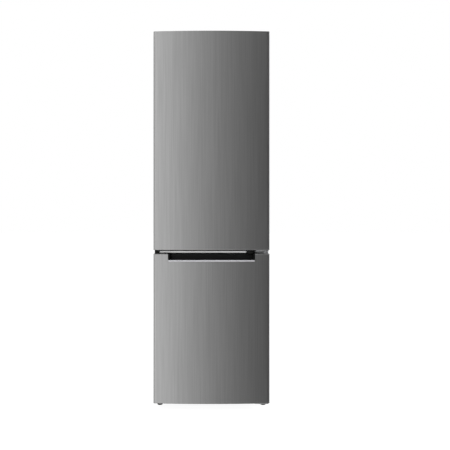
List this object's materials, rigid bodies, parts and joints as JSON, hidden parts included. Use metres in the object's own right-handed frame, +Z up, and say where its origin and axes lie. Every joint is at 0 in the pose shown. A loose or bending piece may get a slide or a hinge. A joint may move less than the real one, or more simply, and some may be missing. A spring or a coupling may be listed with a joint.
{
  "type": "fridge freezer",
  "caption": "Tall free-standing fridge freezer with crowned brushed-steel doors, a recessed grip along the top of the lower door, and a rear condenser.",
  "frame": {"origin": "on the floor, in the middle of the footprint", "axes": "+Z up, -Y out of the doors, +X to the hinge side"},
  "size_m": [0.55, 0.56, 1.794],
  "materials": {
    "side_sheet": "satin",
    "zinc_sheet": "satin",
    "hinge_steel": "satin",
    "door_steel": "satin",
    "bright_lip": "satin",
    "liner_white": "gloss",
    "foam": "matte",
    "cap_grey": "matte",
    "trim_grey": "satin",
    "shelf_glass": "gloss",
    "clear_plastic": "gloss",
    "gasket": "matte",
    "black_plastic": "matte",
    "knob_grey": "satin",
    "compressor_black": "satin",
    "rubber_foot": "matte",
    "evaporator_white": "satin",
    "copper": "satin"
  },
  "bodies": {
    "cabinet": {"back_panel": "zinc_sheet", "base_panel": "zinc_sheet", "bottom_hinge_bracket": "hinge_steel", "cabinet_foam": "foam", "compressor": "compressor_black", "compressor_grommets": "rubber_foot", "compressor_rail": "zinc_sheet", "condenser": "compressor_black", "condenser_brackets": "black_plastic", "control_housing": "liner_white", "cord_gland": "black_plastic", "crisper_cover": "shelf_glass", "divider_trim": "trim_grey", "drain_tube": "knob_grey", "evaporation_tray": "black_plastic", "foot_bracket": "zinc_sheet", "freezer_liner": "liner_white", "fridge_liner": "liner_white", "glass_shelf_1": "shelf_glass", "glass_shelf_2": "shelf_glass", "glass_shelf_3": "shelf_glass", "lamp_lens": "clear_plastic", "lower_evaporator": "evaporator_white", "middle_hinge_bracket": "hinge_steel", "mullion_rail": "side_sheet", "refrigerant_pipes": "copper", "relay_cover": "black_plastic", "roller_brackets": "zinc_sheet", "shelf_trims": "trim_grey", "side_panel_left": "side_sheet", "side_panel_right": "side_sheet", "top_hinge_bracket": "hinge_steel", "top_hinge_cover": "black_plastic", "top_panel": "side_sheet", "trim_end_caps": "black_plastic", "upper_evaporator": "evaporator_white"},
    "fridge_door": {"fridge_door_skin": "door_steel", "fridge_door_caps": "cap_grey", "fridge_door_liner": "liner_white", "fridge_door_foam": "foam", "fridge_door_gasket": "gasket", "bottle_bin": "clear_plastic", "middle_bin": "clear_plastic", "dairy_bin": "clear_plastic"},
    "dairy_lid": {"dairy_lid": "clear_plastic"},
    "freezer_door": {"freezer_door_skin": "door_steel", "freezer_door_caps": "cap_grey", "freezer_door_liner": "liner_white", "freezer_door_foam": "foam", "freezer_door_gasket": "gasket", "handle_insert": "black_plastic", "handle_lip": "bright_lip"},
    "crisper_drawer": {"crisper_drawer": "clear_plastic"},
    "upper_freezer_drawer": {"upper_freezer_drawer": "clear_plastic"},
    "middle_freezer_drawer": {"middle_freezer_drawer": "clear_plastic"},
    "lower_freezer_drawer": {"lower_freezer_drawer": "clear_plastic"},
    "thermostat_knob": {"thermostat_knob": "knob_grey"},
    "left_foot": {"left_foot": "black_plastic"},
    "right_foot": {"right_foot": "black_plastic"},
    "rear_rollers": {"rear_rollers": "black_plastic"}
  },
  "joints": [
    {"name": "fridge_door_hinge", "type": "hinge", "parent": "cabinet", "child": "fridge_door", "pos_m": [0.258, -0.242, 1.26], "axis": [0, 0, 1], "range_deg": [0, 110]},
    {"name": "freezer_door_hinge", "type": "hinge", "parent": "cabinet", "child": "freezer_door", "pos_m": [0.258, -0.242, 0.39], "axis": [0, 0, 1], "range_deg": [0, 110]},
    {"name": "dairy_lid_hinge", "type": "hinge", "parent": "fridge_door", "child": "dairy_lid", "pos_m": [0, -0.2085, 1.574], "axis": [1, 0, 0], "range_deg": [0, 80]},
    {"name": "crisper_slide", "type": "slide", "parent": "cabinet", "child": "crisper_drawer", "axis": [0, -1, 0], "range_m": [0, 0.165]},
    {"name": "upper_freezer_slide", "type": "slide", "parent": "cabinet", "child": "upper_freezer_drawer", "axis": [0, -1, 0], "range_m": [0, 0.126]},
    {"name": "middle_freezer_slide", "type": "slide", "parent": "cabinet", "child": "middle_freezer_drawer", "axis": [0, -1, 0], "range_m": [0, 0.126]},
    {"name": "lower_freezer_slide", "type": "slide", "parent": "cabinet", "child": "lower_freezer_drawer", "axis": [0, -1, 0], "range_m": [0, 0.126]},
    {"name": "thermostat_knob_turn", "type": "hinge", "parent": "cabinet", "child": "thermostat_knob", "pos_m": [0.062, -0.147, 1.7197], "axis": [0, 1, 0], "range_deg": [0, 270]},
    {"name": "left_foot_screw", "type": "hinge", "parent": "cabinet", "child": "left_foot", "pos_m": [-0.252, -0.172, 0.02], "axis": [0, 0, 1], "continuous": true},
    {"name": "right_foot_screw", "type": "hinge", "parent": "cabinet", "child": "right_foot", "pos_m": [0.252, -0.172, 0.02], "axis": [0, 0, 1], "continuous": true},
    {"name": "rear_roller_axle", "type": "hinge", "parent": "cabinet", "child": "rear_rollers", "pos_m": [0, 0.202, 0.017], "axis": [1, 0, 0], "continuous": true}
  ],
  "couplings": [
    {"joint": "crisper_slide", "follows": "fridge_door_hinge", "m_per_rad": 0.085},
    {"joint": "upper_freezer_slide", "follows": "freezer_door_hinge", "m_per_rad": 0.065},
    {"joint": "middle_freezer_slide", "follows": "freezer_door_hinge", "m_per_rad": 0.065},
    {"joint": "lower_freezer_slide", "follows": "freezer_door_hinge", "m_per_rad": 0.065}
  ]
}
